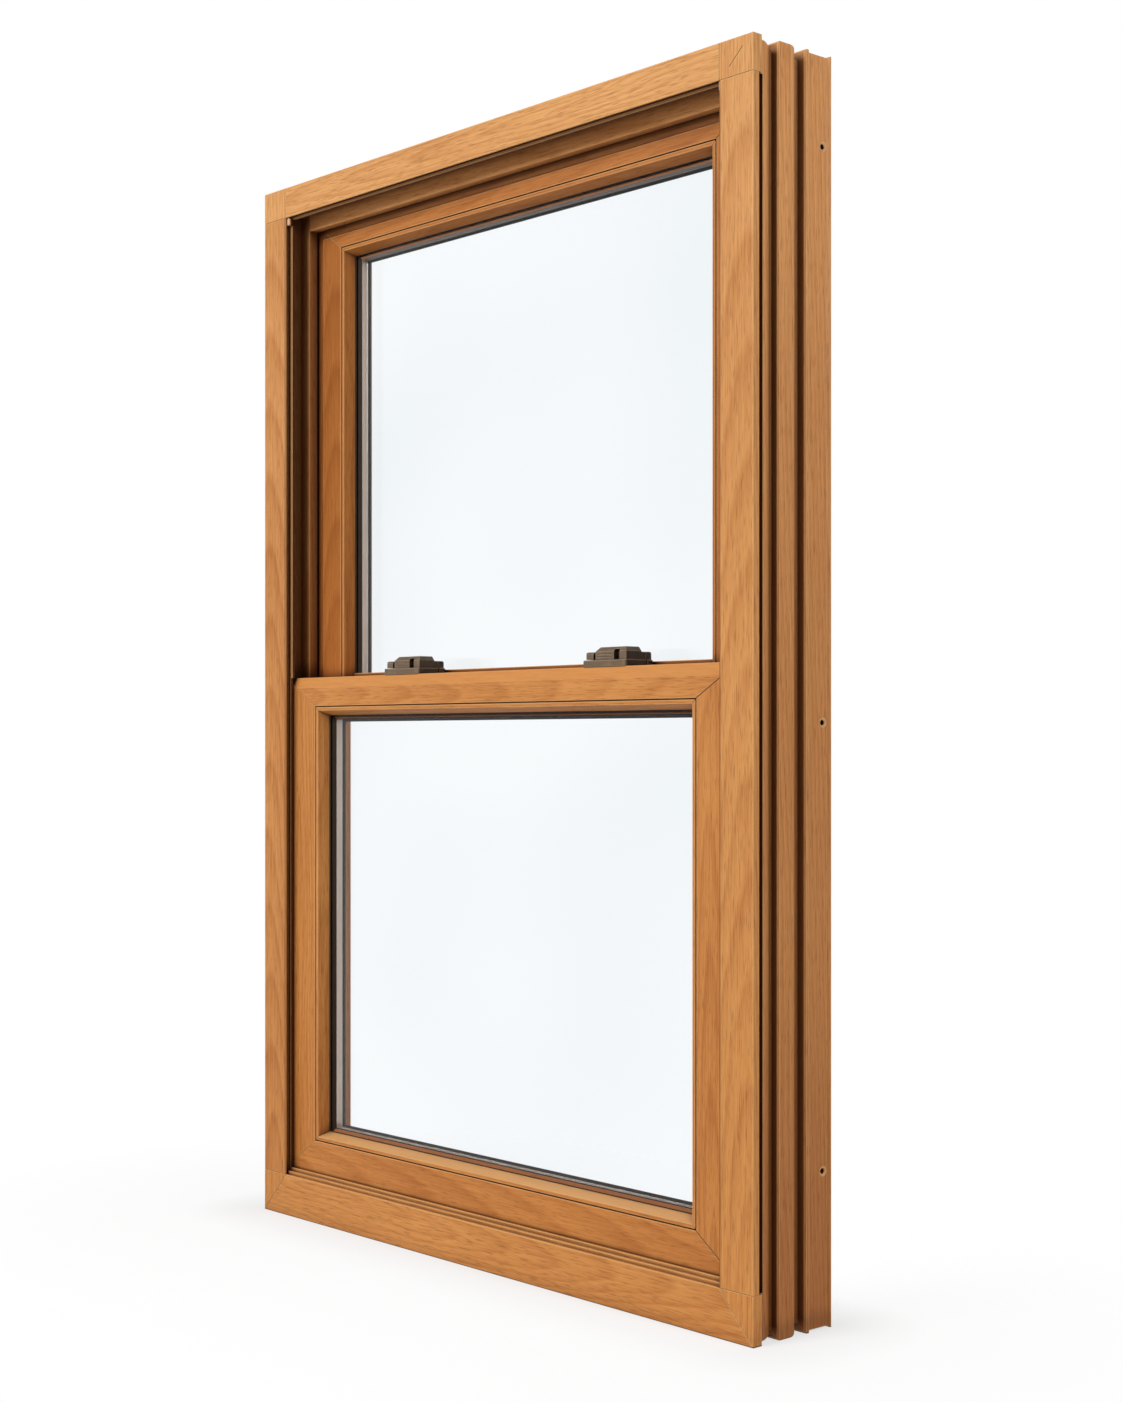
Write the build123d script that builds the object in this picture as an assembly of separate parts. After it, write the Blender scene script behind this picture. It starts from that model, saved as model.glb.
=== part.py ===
from build123d import *
import math
import os

os.makedirs("parts", exist_ok=True)

# Overall size of the window, in mm. The room face is at the front, toward -Y.
WIDTH = 864.0
HEIGHT = 1320.0
DEPTH = 119.0

# Face boards on the room side
BOARD_T = 13.0
BOARD_SIDE = 47.0
BOARD_HEAD = 38.0
BOARD_SILL = 52.0
BOARD_EDGE = 0.6
JOINT = 0.25
JOINT_BREAK = 0.4
LINE_W = 6.0
LINE_DEEP = 3.5
LINE_Y = 2.0
STRIP_Y = 9.0
STRIP_IN = 1.5
STRIP_PROUD = 2.0
KERF_Y = 9.0
KERF_W = 9.0
KERF_DEEP = 8.0
STEP_RISE = 4.0
STEP_RUN = 4.5
SCRIBE_LONG = 25.0
SCRIBE_W = 0.7

# Frame section: inward offsets (o) and depths (y) from the outer front corner
WALL = 29.0
COVE_IN = 3.5
COVE_Y = 17.0
COVE_END = 2.5
GROOVE_DEEP = 10.0
RIB_Y0 = 38.0
RIB_Y1 = 67.5
RIB_IN = 0.5
RIB_ROUND = 2.0
RIB_FALL = 11.0
RIB_DROP = 6.5
RIDGE_Y0 = 79.5
RIDGE_Y1 = 86.0
FLAT_IN = 2.0
EDGE_T = 5.0
EDGE_FLAT = 1.5
STOP_IN = 43.0
SCREEN_IN = 29.0
SCREEN_Y = 97.0

# Sill
SILL_SEAT = 56.0
SILL_NOSE = 40.0
SILL_FLAT_Y = 49.0

# Sashes: thickness, clearances and places
RUN = 0.5
SIDE_RUN = 3.0
SASH_GAP = 0.8
PARTING_T = 12.0
PARTING_IN = 48.0
DADO = 6.0
NOTCH_RUN = 2.0
RELIEF_IN = 61.0
RELIEF_DEEP = 3.0
LOWER_STILE = 61.0
UPPER_STILE = 67.0
LOWER_BOTTOM_RAIL = 44.0
LOWER_TOP_RAIL = 36.5
UPPER_TOP_RAIL = 45.0
MEETING_RAIL = 16.0
MEET_LAP = 36.0
FIN_TALL = 6.0
FIN_T = 3.0
SEAT_GAP = 0.2
HEAD_GAP = 3.0
BEVEL_TALL = 13.0
BEVEL_DEEP = 4.0

# Glazing: bead, gasket, insulated glass and outer lip
BEAD_W = 11.5
BEAD_ARRIS = 6.0
BEAD_T = 15.5
BEAD_LINE_W = 1.3
BEAD_LINE_DEEP = 2.5
GASKET_T = 1.0
PANE_T = 3.0
SPACER_T = 9.0
LIP_T = 3.0
LIP_SIDE = 23.5
LIP_RAIL = 19.0
GLASS_IN = 3.0
SPACER_EDGE = 3.0
SPACER_SIDE = 15.5
SPACER_RAIL = 11.0
MITRE_GAP = 0.35
SASH_MITRE = 0.2

# Sash locks: offsets along X run from the left end of the base
LOCK_X = 180.0
LOCK_SHIFT = 16.0
LOCK_W = 69.0
LOCK_D = 31.5
LOCK_PLATE = 7.5
LOCK_BACK = 1.0
LOCK_CORNER = 2.5
LOCK_BREAK = 0.8
LOCK_INSET = 2.0
HOUSE_LEFT = 19.0
HOUSE_END = 1.5
HOUSE_WALL = 8.5
CAP_D = 23.0
CAP_TALL = 5.5
CAP_SLOPE = 4.8
CAP_SLOPE_IN = 4.0
POCKET_LEFT = 48.0
POCKET_W = 9.0
POCKET_DEEP = 7.0
POCKET_TALL = 11.5
RULE_W = 0.8
RULE_DEEP = 0.6
RULE_IN = 2.0
LEVER_LEFT = 2.5
LEVER_W = 13.0
LEVER_D = 14.0
LEVER_TALL = 8.0
LEVER_LIFT = 0.8
NECK_LONG = 12.0
NECK_D = 5.0
NECK_RUN = 0.3
TONGUE_W = 26.0
TONGUE_TALL = 3.0
TONGUE_LAP = 3.0
TONGUE_LIFT = 2.0
KEEPER_RUN = 0.5
KEEPER_D = 10.0
KEEPER_STEP = 2.2
KEEPER_ROUND = 2.5

# Bumpers
BUMPER_PROUD = 4.0
BUMPER_Y = 3.0
BUMPER_DEEP = 3.5
BUMPER_TALL = 9.0

# Screw holes in the jambs
SCREW_R = 3.3
SCREW_HEAD_R = 5.3
SCREW_BACK = 11.0
SCREW_LOW = 163.0
SCREW_DROP = 95.0
SCREW_SHIFT = 32.0

SCREW_Y = DEPTH - SCREW_BACK
SCREW_MID = HEIGHT / 2 - SCREW_SHIFT
SCREW_HIGH = HEIGHT - SCREW_DROP
HALF = WIDTH / 2
FRONT = -DEPTH / 2
SASH_T = BEAD_T + 2 * GASKET_T + 2 * PANE_T + SPACER_T + LIP_T
LOWER_Y = BOARD_T + RUN
UPPER_Y = LOWER_Y + SASH_T + SASH_GAP
PARTING_Y = UPPER_Y - RUN - PARTING_T
STOP_Y = UPPER_Y + SASH_T + RUN
SASH_X = HALF - WALL - SIDE_RUN
LOWER_Z0 = SILL_SEAT + SEAT_GAP
UPPER_Z1 = HEIGHT - WALL - HEAD_GAP
MEET_Z = LOWER_Z0 + (UPPER_Z1 - LOWER_Z0 + MEET_LAP) / 2
LOWER_Z1 = MEET_Z
UPPER_Z0 = MEET_Z - MEET_LAP


def face_of(points):
    """Close a list of 2D points into a flat face."""
    return make_face(Polyline(*points, close=True))


def along_z(points, z0, z1):
    """Extrude a section given as (x, depth) points from z0 up to z1."""
    placed = [(x, FRONT + y) for x, y in points]
    return extrude(Plane.XY.offset(z0) * face_of(placed), z1 - z0)


def along_x(points, x0, x1):
    """Extrude a section given as (depth, z) points from x0 to x1."""
    placed = [(FRONT + y, z) for y, z in points]
    return extrude(Plane.YZ.offset(x0) * face_of(placed), x1 - x0)


def along_y(points, y0, y1):
    """Extrude an outline given as (x, z) points from depth y0 to depth y1."""
    plane = Plane((0, FRONT + y1, 0), x_dir=(1, 0, 0), z_dir=(0, -1, 0))
    return extrude(plane * face_of(points), y1 - y0)


def flip(points):
    """Mirror points in the first coordinate, for the right-hand side."""
    return [(-a, b) for a, b in reversed(points)]


def save(name, *solids):
    """Write one node as a STEP file."""
    shape = solids[0] if len(solids) == 1 else Compound(children=list(solids))
    export_step(shape, os.path.join("parts", name + ".step"))


# Outer profile of the frame, from the back of the face board to the rear edge
def outer_profile():
    cove_deep = GROOVE_DEEP - COVE_IN
    cove_run = RIB_Y0 - COVE_END - COVE_Y
    cove = [(COVE_IN + cove_deep * t * t, COVE_Y + cove_run * t) for t in (0.2, 0.4, 0.6, 0.8, 1.0)]
    turns = [math.radians(a) for a in (22.5, 45, 67.5, 90)]
    fall_y = RIB_Y1 - RIB_FALL
    fall = [(RIB_IN + RIB_DROP * (1 - math.cos(a)), fall_y + RIB_FALL * math.sin(a)) for a in turns]
    return [
        (COVE_IN, BOARD_T),
        (COVE_IN, COVE_Y),
        *cove,
        (GROOVE_DEEP, RIB_Y0),
        (RIB_IN + RIB_ROUND, RIB_Y0),
        (RIB_IN, RIB_Y0 + RIB_ROUND),
        (RIB_IN, RIB_Y1 - RIB_FALL),
        *fall,
        (GROOVE_DEEP, RIB_Y1),
        (GROOVE_DEEP, RIDGE_Y0 - 2),
        (FLAT_IN, RIDGE_Y0 - 1),
        (0, RIDGE_Y0 + 1),
        (0, RIDGE_Y1 - 2),
        (FLAT_IN, RIDGE_Y1 + 1),
        (FLAT_IN, DEPTH - EDGE_T),
        (0, DEPTH - EDGE_FLAT),
        (0, DEPTH),
    ]


# Inner profile of jambs and head, from the rear edge back to the face board
def inner_profile():
    return [
        (SCREEN_IN, DEPTH),
        (SCREEN_IN, SCREEN_Y),
        (STOP_IN, SCREEN_Y),
        (STOP_IN, STOP_Y),
        (WALL, STOP_Y),
        (WALL, PARTING_Y + PARTING_T),
        (WALL - DADO, PARTING_Y + PARTING_T),
        (WALL - DADO, PARTING_Y),
        (WALL, PARTING_Y),
        (WALL, BOARD_T),
    ]


section = outer_profile() + inner_profile()

# Sill, mitred to the jambs below and cut square between them above
sill_top = [
    (DEPTH, SILL_NOSE),
    (SILL_FLAT_Y, SILL_SEAT),
    (BOARD_T, SILL_SEAT),
]
sill_bar = along_x([(y, o) for o, y in outer_profile()] + sill_top, -HALF, HALF)
sill_plan = [
    (-HALF, 0),
    (HALF, 0),
    (HALF - WALL, WALL),
    (HALF - WALL, SILL_SEAT),
    (WALL - HALF, SILL_SEAT),
    (WALL - HALF, WALL),
]
sill = sill_bar & along_y(sill_plan, 0, DEPTH)
save("sill", sill)

# Jambs with countersunk screw holes through the rear flat
jamb_plan = [
    (-HALF, 0),
    (WALL - HALF, WALL),
    (WALL - HALF, SILL_NOSE - 4),
    (STOP_IN - HALF, SILL_NOSE - 4),
    (STOP_IN - HALF, HEIGHT - STOP_IN),
    (-HALF, HEIGHT),
]


def jamb(side):
    points = [(-HALF + o, y) for o, y in section]
    plan = jamb_plan
    if side > 0:
        points = flip(points)
        plan = flip(plan)
    solid = along_z(points, 0, HEIGHT) & along_y(plan, 0, DEPTH)
    solid = solid - sill
    kerf = [
        (-HALF, BOARD_T),
        (KERF_DEEP - HALF, BOARD_T),
        (KERF_DEEP - HALF, KERF_Y + KERF_W),
        (-HALF, KERF_Y + KERF_W),
    ]
    solid = solid - along_z(kerf if side < 0 else flip(kerf), BOARD_SILL, HEIGHT - BOARD_HEAD)
    for z in (SCREW_LOW, SCREW_MID, SCREW_HIGH):
        at = Pos(side * HALF, FRONT + SCREW_Y, z) * Rot(0, 90 * side, 0)
        hole = at * Cylinder(SCREW_R, 4 * STOP_IN)
        depth = SCREW_HEAD_R - SCREW_R
        sink_at = Pos(side * (HALF - FLAT_IN - depth / 2), FRONT + SCREW_Y, z)
        sink = sink_at * Rot(0, 90 * side, 0) * Cone(SCREW_R, SCREW_HEAD_R, depth)
        solid = solid - hole - sink
    return solid


save("left_jamb", jamb(-1))
save("right_jamb", jamb(1))

# Head jamb
head_plan = [
    (-HALF, HEIGHT),
    (STOP_IN - HALF, HEIGHT - STOP_IN),
    (HALF - STOP_IN, HEIGHT - STOP_IN),
    (HALF, HEIGHT),
]
head_bar = along_x([(y, HEIGHT - o) for o, y in section], -HALF, HALF)
save("head_jamb", head_bar & along_y(head_plan, 0, DEPTH))


# Face boards: a section with a shadow line, a seat for the weatherstrip and,
# where asked for, a kerf in the outer back edge
def board_section(width, kerf):
    outer = [(0, BOARD_T)]
    if kerf:
        outer = [(KERF_DEEP, BOARD_T), (KERF_DEEP, KERF_Y), (0, KERF_Y)]
    return outer + [
        (0, BOARD_EDGE),
        (BOARD_EDGE, 0),
        (width - BOARD_EDGE, 0),
        (width, BOARD_EDGE),
        (width, LINE_Y),
        (width - LINE_DEEP, LINE_Y),
        (width - LINE_DEEP, LINE_Y + LINE_W),
        (width, LINE_Y + LINE_W),
        (width, STRIP_Y),
        (width - STRIP_IN, STRIP_Y),
        (width - STRIP_IN, BOARD_T),
    ]


def soften(solid):
    """Break the front edges of a board piece where the section does not."""
    front = solid.faces().sort_by(Axis.Y)[0]
    return chamfer(front.edges(), JOINT_BREAK)


INNER_X = HALF - BOARD_SIDE
HEAD_Z = HEIGHT - BOARD_HEAD
side_points = [(-HALF + o, y) for o, y in board_section(BOARD_SIDE, True)]
left_board = along_z(side_points, BOARD_SILL + JOINT, HEAD_Z - JOINT)
right_board = along_z(flip(side_points), BOARD_SILL + JOINT, HEAD_Z - JOINT)
save("left_face_board", soften(left_board))
save("right_face_board", soften(right_board))

head_points = [(y, HEIGHT - o) for o, y in board_section(BOARD_HEAD, False)]
head_board = along_x(head_points, JOINT - INNER_X, INNER_X - JOINT)
save("head_face_board", soften(head_board))

# The sill board rises in two small steps toward the sash
sill_points = [
    (BOARD_T, 0),
    (BOARD_EDGE, 0),
    (0, BOARD_EDGE),
    (0, BOARD_SILL - BOARD_EDGE),
    (BOARD_EDGE, BOARD_SILL),
    (STEP_RUN, BOARD_SILL),
    (STEP_RUN, BOARD_SILL + STEP_RISE - BOARD_EDGE),
    (STEP_RUN + BOARD_EDGE, BOARD_SILL + STEP_RISE),
    (2 * STEP_RUN, BOARD_SILL + STEP_RISE),
    (2 * STEP_RUN, BOARD_SILL + 2 * STEP_RISE - BOARD_EDGE),
    (2 * STEP_RUN + BOARD_EDGE, BOARD_SILL + 2 * STEP_RISE),
    (BOARD_T, BOARD_SILL + 2 * STEP_RISE),
]
STEP_Z = BOARD_SILL + 2 * STEP_RISE
sill_cut = [
    (JOINT - HALF, 0),
    (HALF - JOINT, 0),
    (INNER_X - JOINT, BOARD_SILL),
    (INNER_X - JOINT, STEP_Z),
    (JOINT - INNER_X, STEP_Z),
    (JOINT - INNER_X, BOARD_SILL),
]
sill_board = along_x(sill_points, -HALF, HALF) & along_y(sill_cut, 0, BOARD_T)
save("sill_face_board", soften(sill_board))

# Square blocks at the top corners and triangular keys at the bottom corners
keys = []
for side in (-1, 1):
    top_block = [(INNER_X, HEAD_Z), (HALF, HEAD_Z), (HALF, HEIGHT), (INNER_X, HEIGHT)]
    low_key = [(HALF, 0), (HALF, BOARD_SILL), (INNER_X, BOARD_SILL)]
    for outline in (top_block, low_key):
        points = outline if side > 0 else flip(outline)
        keys.append(soften(along_y(points, 0, BOARD_T)))
scribe_at = Pos(HALF - BOARD_SIDE / 2, FRONT, HEIGHT - BOARD_HEAD / 2)
scribe = scribe_at * Rot(0, -42, 0) * Box(SCRIBE_LONG, 2 * SCRIBE_W, SCRIBE_W)
keys[2] = keys[2] - scribe
save("board_corner_keys", *keys)

# Weatherstrip along the inner edges of the face boards, against the sash
strip_y0 = STRIP_Y
strip_side = [
    (INNER_X + STRIP_IN, strip_y0),
    (INNER_X + STRIP_IN, BOARD_T),
    (INNER_X - STRIP_PROUD, BOARD_T),
    (INNER_X - STRIP_PROUD, strip_y0 + 0.6),
    (INNER_X - STRIP_PROUD + 0.6, strip_y0),
]
STRIP_Z1 = HEAD_Z - JOINT - BUMPER_TALL
strip_right = along_z(strip_side, LOWER_Z1, STRIP_Z1)
strip_left = along_z(flip(strip_side), LOWER_Z1, STRIP_Z1)
strip_head = along_x(
    [
        (strip_y0, HEAD_Z + STRIP_IN),
        (BOARD_T, HEAD_Z + STRIP_IN),
        (BOARD_T, HEAD_Z - STRIP_PROUD),
        (strip_y0 + 0.6, HEAD_Z - STRIP_PROUD),
        (strip_y0, HEAD_Z - STRIP_PROUD + 0.6),
    ],
    BUMPER_PROUD + JOINT - INNER_X,
    INNER_X - BUMPER_PROUD - JOINT,
)
save("face_weatherstrip", strip_left, strip_right, strip_head)

# Parting stops between the two sashes, set in grooves of the jambs and head
PARTING_X = HALF - PARTING_IN
PARTING_Z = HEIGHT - PARTING_IN - 2
stop_side = [
    (HALF - WALL + DADO, PARTING_Y),
    (HALF - WALL + DADO, PARTING_Y + PARTING_T),
    (PARTING_X, PARTING_Y + PARTING_T),
    (PARTING_X, PARTING_Y),
]
save("right_parting_stop", along_z(stop_side, SILL_SEAT, HEIGHT - WALL))
save("left_parting_stop", along_z(flip(stop_side), SILL_SEAT, HEIGHT - WALL))
stop_head = [
    (PARTING_Y, HEIGHT - WALL + DADO),
    (PARTING_Y + PARTING_T, HEIGHT - WALL + DADO),
    (PARTING_Y + PARTING_T, PARTING_Z),
    (PARTING_Y, PARTING_Z),
]
save("head_parting_stop", along_x(stop_head, -PARTING_X, PARTING_X))


# A sash: stiles and rails cut on their diagonals, with an outer lip for the glass
class Sash:
    def __init__(self, y0, z0, z1, stile, low, top, flat_sill):
        self.y0 = y0
        self.flat_sill = flat_sill
        self.bevelled = not flat_sill
        self.z0 = z0
        self.z1 = z1
        self.low = low
        self.top = top
        self.side = stile
        self.gx = SASH_X - stile
        self.gz0 = z0 + low
        self.gz1 = z1 - top

    def bar_section(self, face, wide, edge_in=BOARD_EDGE, edge_deep=BOARD_EDGE):
        """Section of a stile or rail as (inward, depth) points, with a bevelled outer edge."""
        y0 = self.y0
        y1 = y0 + SASH_T
        lip = y1 - LIP_T
        return [
            (0, y0 + edge_deep),
            (edge_in, y0),
            (face - BOARD_EDGE, y0),
            (face, y0 + BOARD_EDGE),
            (face, lip),
            (face + wide, lip),
            (face + wide, y1 - 2),
            (face + wide - 2, y1),
            (0, y1),
        ]

    def clear(self, solid):
        """Cut a member back where the parting stops pass, or beside them for a shadow gap."""
        y0 = self.y0
        y1 = y0 + SASH_T
        cuts = []
        if self.flat_sill:
            x = HALF - RELIEF_IN
            z = HEIGHT - RELIEF_IN
            top = [(-SASH_X, z), (SASH_X, z), (SASH_X, HEIGHT), (-SASH_X, HEIGHT)]
            cuts.append(along_y(top, y0, y0 + RELIEF_DEEP))
            ends = (y0, y0 + RELIEF_DEEP)
        else:
            x = PARTING_X - NOTCH_RUN
            ends = (PARTING_Y - RUN, y1)
        side = [(x, self.z0), (SASH_X, self.z0), (SASH_X, self.z1), (x, self.z1)]
        cuts.append(along_y(side, *ends))
        cuts.append(along_y(flip(side), *ends))
        for cut in cuts:
            solid = solid - cut
        return solid

    def stile(self, side):
        points = [(-SASH_X + o, y) for o, y in self.bar_section(self.side, LIP_SIDE)]
        m = SASH_MITRE
        plan = [
            (-SASH_X, self.z0 + m),
            (-self.gx, self.gz0 + m),
            (LIP_SIDE - self.gx, self.gz0 + LIP_RAIL + m),
            (LIP_SIDE - self.gx, self.gz1 - LIP_RAIL - m),
            (-self.gx, self.gz1 - m),
            (-SASH_X, self.z1 - m),
        ]
        if side > 0:
            points = flip(points)
            plan = flip(plan)
        bar = along_z(points, self.z0, self.z1)
        return self.clear(bar & along_y(plan, self.y0, self.y0 + SASH_T))

    def rail_plan(self, z, groove, step):
        m = SASH_MITRE
        return [
            (m - SASH_X, z),
            (SASH_X - m, z),
            (self.gx - m, groove),
            (self.gx - LIP_SIDE - m, groove + step),
            (LIP_SIDE - self.gx + m, groove + step),
            (m - self.gx, groove),
        ]

    def bottom_rail(self):
        points = [(y, self.z0 + o) for o, y in self.bar_section(self.low, LIP_RAIL)]
        bar = along_x(points, -SASH_X, SASH_X)
        plan = self.rail_plan(self.z0, self.gz0, LIP_RAIL)
        return self.clear(bar & along_y(plan, self.y0, self.y0 + SASH_T))

    def top_rail(self):
        section = self.bar_section(self.top, LIP_RAIL)
        if self.bevelled:
            section = self.bar_section(self.top, LIP_RAIL, BEVEL_TALL, BEVEL_DEEP)
        points = [(y, self.z1 - o) for o, y in section]
        bar = along_x(points, -SASH_X, SASH_X)
        plan = self.rail_plan(self.z1, self.gz1, -LIP_RAIL)
        return self.clear(bar & along_y(plan, self.y0, self.y0 + SASH_T))

    def bead_points(self):
        y0 = self.y0
        return [
            (0, y0 + BEAD_T),
            (0, y0 + BEAD_LINE_DEEP),
            (BEAD_LINE_W, y0 + BEAD_LINE_DEEP),
            (BEAD_LINE_W, y0 + 0.7),
            (BEAD_LINE_W + 0.5, y0 + 0.2),
            (BEAD_ARRIS - 0.6, y0 + 0.2),
            (BEAD_ARRIS, y0 + 0.8),
            (BEAD_W, y0 + BEAD_T - 1.5),
            (BEAD_W, y0 + BEAD_T),
        ]

    def flat_bead(self):
        """A bead with a level ledge for the lock keepers and a thin fin against the glass."""
        y0 = self.y0
        y1 = y0 + BEAD_T
        x = self.gx
        low = self.gz0
        ledge = [(y0 + 0.2, low), (y1, low), (y1, LOWER_Z1), (y0 + 0.2, LOWER_Z1)]
        top = LOWER_Z1 + FIN_TALL
        fin = [(y1 - FIN_T, low), (y1, low), (y1, top), (y1 - FIN_T + 0.6, top), (y1 - FIN_T, top - 0.6)]
        inside = x - BEAD_W - MITRE_GAP
        return along_x(ledge, -x, x) + along_x(fin, -inside, inside)

    def beads(self):
        """Four glazing beads, mitred with a hairline at the corners."""
        made = []
        g = MITRE_GAP
        y1 = self.y0 + BEAD_T
        x = self.gx
        foot = (self.gz0 + g, self.gz0 + BEAD_W + g)
        if self.flat_sill:
            foot = (LOWER_Z1 + g, LOWER_Z1 + g)
        for side in (-1, 1):
            points = [(-x + o, y) for o, y in self.bead_points()]
            plan = [
                (-x, foot[0]),
                (BEAD_W - x, foot[1]),
                (BEAD_W - x, self.gz1 - BEAD_W - g),
                (-x, self.gz1 - g),
            ]
            if side > 0:
                points = flip(points)
                plan = flip(plan)
            bar = along_z(points, self.gz0, self.gz1)
            made.append(bar & along_y(plan, self.y0, y1))
        for z, sign in ((self.gz0, 1), (self.gz1, -1)):
            if sign > 0 and self.flat_sill:
                made.append(self.flat_bead())
                continue
            points = [(y, z + sign * o) for o, y in self.bead_points()]
            plan = [
                (-x + g, z),
                (x - g, z),
                (x - BEAD_W - g, z + sign * BEAD_W),
                (BEAD_W - x + g, z + sign * BEAD_W),
            ]
            bar = along_x(points, -x, x)
            made.append(bar & along_y(plan, self.y0, y1))
        return made

    def ring(self, inset, side, rail, y0, y1):
        """A flat rectangular ring, inset from the groove line, or a sheet if it has no widths."""
        x = self.gx - inset
        low = self.gz0 + inset
        high = self.gz1 - inset
        outer = along_y([(-x, low), (x, low), (x, high), (-x, high)], y0, y1)
        if side is None:
            return outer
        x -= side
        low += rail
        high -= rail
        inner = along_y([(-x, low), (x, low), (x, high), (-x, high)], y0, y1)
        return outer - inner

    def glazing(self):
        y = self.y0 + BEAD_T
        bead = BEAD_W - GLASS_IN + 0.8
        side = LIP_SIDE - GLASS_IN + 0.8
        rail = LIP_RAIL - GLASS_IN + 0.8
        edge = GLASS_IN + SPACER_EDGE
        names = []
        names.append(("inner_gasket", self.ring(GLASS_IN, bead, bead, y, y + GASKET_T)))
        y += GASKET_T
        names.append(("inner_pane", self.ring(GLASS_IN, None, None, y, y + PANE_T)))
        y += PANE_T
        names.append(("spacer", self.ring(edge, SPACER_SIDE, SPACER_RAIL, y, y + SPACER_T)))
        y += SPACER_T
        names.append(("outer_pane", self.ring(GLASS_IN, None, None, y, y + PANE_T)))
        y += PANE_T
        names.append(("outer_gasket", self.ring(GLASS_IN, side, rail, y, y + GASKET_T)))
        return names


lower = Sash(LOWER_Y, LOWER_Z0, LOWER_Z1, LOWER_STILE, LOWER_BOTTOM_RAIL, LOWER_TOP_RAIL, False)
upper = Sash(UPPER_Y, UPPER_Z0, UPPER_Z1, UPPER_STILE, MEETING_RAIL, UPPER_TOP_RAIL, True)

for name, sash in (("lower", lower), ("upper", upper)):
    save(name + "_left_stile", sash.stile(-1))
    save(name + "_right_stile", sash.stile(1))
    save(name + "_bottom_rail", sash.bottom_rail())
    save(name + "_top_rail", sash.top_rail())
    save(name + "_glazing_beads", *sash.beads())
    for piece, solid in sash.glazing():
        save(name + "_" + piece, solid)

# Small bumpers plugged into the shadow line at the top of the side boards
bumpers = []
for side in (-1, 1):
    wide = BUMPER_PROUD + LINE_DEEP
    x = side * (INNER_X + LINE_DEEP - wide / 2)
    at = Pos(x, FRONT + BUMPER_Y + BUMPER_DEEP / 2, STRIP_Z1 + BUMPER_TALL / 2)
    nub = at * Box(wide, BUMPER_DEEP, BUMPER_TALL)
    inner = nub.faces().sort_by(Axis.X)[0 if side > 0 else -1]
    bumpers.append(chamfer(inner.edges(), BUMPER_PROUD / 4))
save("head_bumpers", *bumpers)

# Cam locks: base and housing on the lower sash, keeper on the upper sash
LOCK_Y1 = FRONT + LOWER_Y + SASH_T - LOCK_BACK
LOCK_Y0 = LOCK_Y1 - LOCK_D
HOUSE_Y0 = LOCK_Y0 + LOCK_INSET
HOUSE_Z0 = LOWER_Z1 + LOCK_PLATE
WALL_Z = HOUSE_Z0 + HOUSE_WALL
KEEPER_Y0 = LOCK_Y1 + KEEPER_RUN
KEEPER_Y1 = KEEPER_Y0 + KEEPER_D


def block(x0, x1, y0, y1, z0, z1):
    """A block between two corners."""
    middle = Pos((x0 + x1) / 2, (y0 + y1) / 2, (z0 + z1) / 2)
    return middle * Box(x1 - x0, y1 - y0, z1 - z0)


def top_edges(solid):
    """Edges of the uppermost level of a solid."""
    return solid.edges().group_by(Axis.Z)[-1]


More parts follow.
